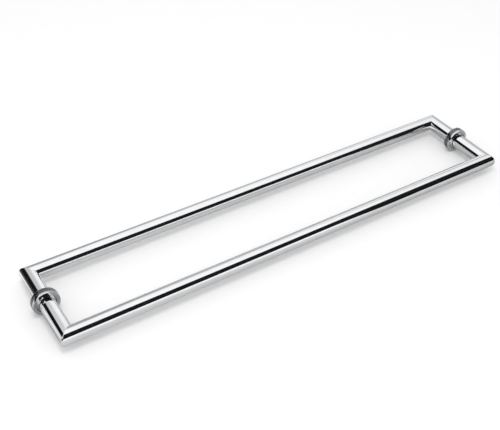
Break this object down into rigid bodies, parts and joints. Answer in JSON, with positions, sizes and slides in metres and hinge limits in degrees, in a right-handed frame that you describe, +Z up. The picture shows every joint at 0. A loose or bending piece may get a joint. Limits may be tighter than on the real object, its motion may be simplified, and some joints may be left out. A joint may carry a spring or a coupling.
{
  "type": "double-sided towel bar",
  "caption": "Back-to-back towel bar for a glass shower panel: two mitred round-tube handles joined through the glass at washers on both ends.",
  "frame": {"origin": "centre of the loop's box: midway between the two rails, midway between the two ends, on the axes of the tubes", "axes": "+X along the rails, +Y through the glass towards the rear rail, +Z up, at right angles to the loop; the clamp plane stands 4.7 mm behind the origin"},
  "size_m": [0.6224, 0.1254, 0.0318],
  "materials": {
    "polished_tube": "mirror polish",
    "polished_washer": "turned, bright",
    "clear_gasket": "clear soft plastic",
    "turned_brass": "turned",
    "plain_steel": "plain"
  },
  "bodies": {
    "root": {"front_rail": "polished_tube", "front_left_leg": "polished_tube", "front_left_plug": "turned_brass", "front_left_washer": "polished_washer", "front_left_gasket": "clear_gasket", "front_right_leg": "polished_tube", "front_right_plug": "turned_brass", "front_right_washer": "polished_washer", "front_right_gasket": "clear_gasket", "rear_rail": "polished_tube", "rear_left_leg": "polished_tube", "rear_left_plug": "turned_brass", "rear_left_washer": "polished_washer", "rear_left_gasket": "clear_gasket", "rear_right_leg": "polished_tube", "rear_right_plug": "turned_brass", "rear_right_washer": "polished_washer", "rear_right_gasket": "clear_gasket", "left_stud": "plain_steel", "left_sleeve": "clear_gasket", "left_set_screw": "plain_steel", "right_stud": "plain_steel", "right_sleeve": "clear_gasket", "right_set_screw": "plain_steel"}
  },
  "joints": []
}
